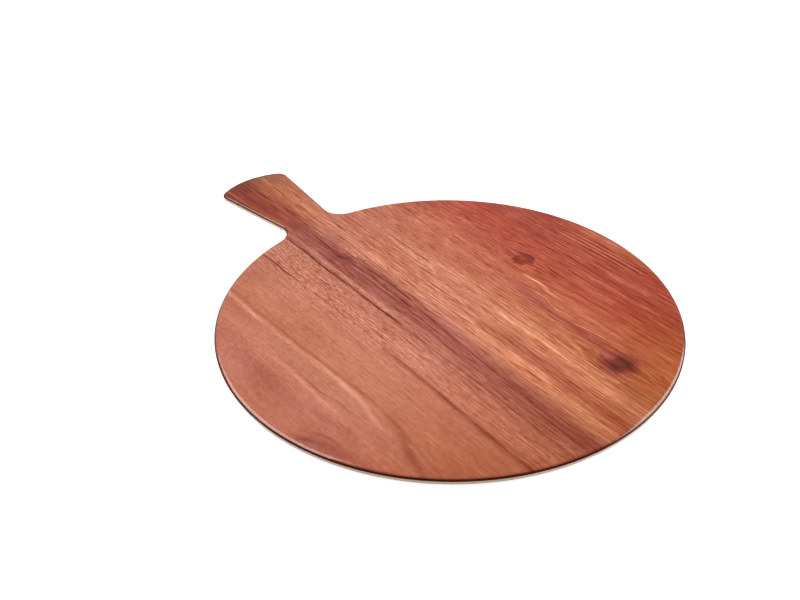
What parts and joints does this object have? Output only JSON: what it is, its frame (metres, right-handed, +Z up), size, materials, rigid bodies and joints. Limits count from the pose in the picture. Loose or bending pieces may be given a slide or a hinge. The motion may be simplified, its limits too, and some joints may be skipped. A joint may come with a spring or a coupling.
{
  "type": "pizza serving board",
  "caption": "Thin round serving board with a short flared handle: layered melamine moulding with a glazed wood-grain decor, a rounded rim and silicone anti-slip feet.",
  "frame": {"origin": "centre of the board's bounding box, at the level of the table that the feet stand on", "axes": "+Y along the handle, away from the disc; +Z up, out of the serving face; +X to the right with the handle pointing away"},
  "size_m": [0.33, 0.43, 0.0054],
  "materials": {
    "beige_melamine": "satin moulded melamine",
    "brown_melamine": "glossy moulded melamine",
    "wood_decor": "printed red-brown wood grain under glaze",
    "glaze": "clear gloss melamine glaze",
    "silicone": "matt silicone"
  },
  "bodies": {
    "root": {"base_moulding": "beige_melamine", "top_moulding": "brown_melamine", "decor_foil": "wood_decor", "clear_glaze": "glaze", "front_left_foot": "silicone", "front_right_foot": "silicone", "handle_left_foot": "silicone", "handle_right_foot": "silicone"}
  },
  "joints": []
}
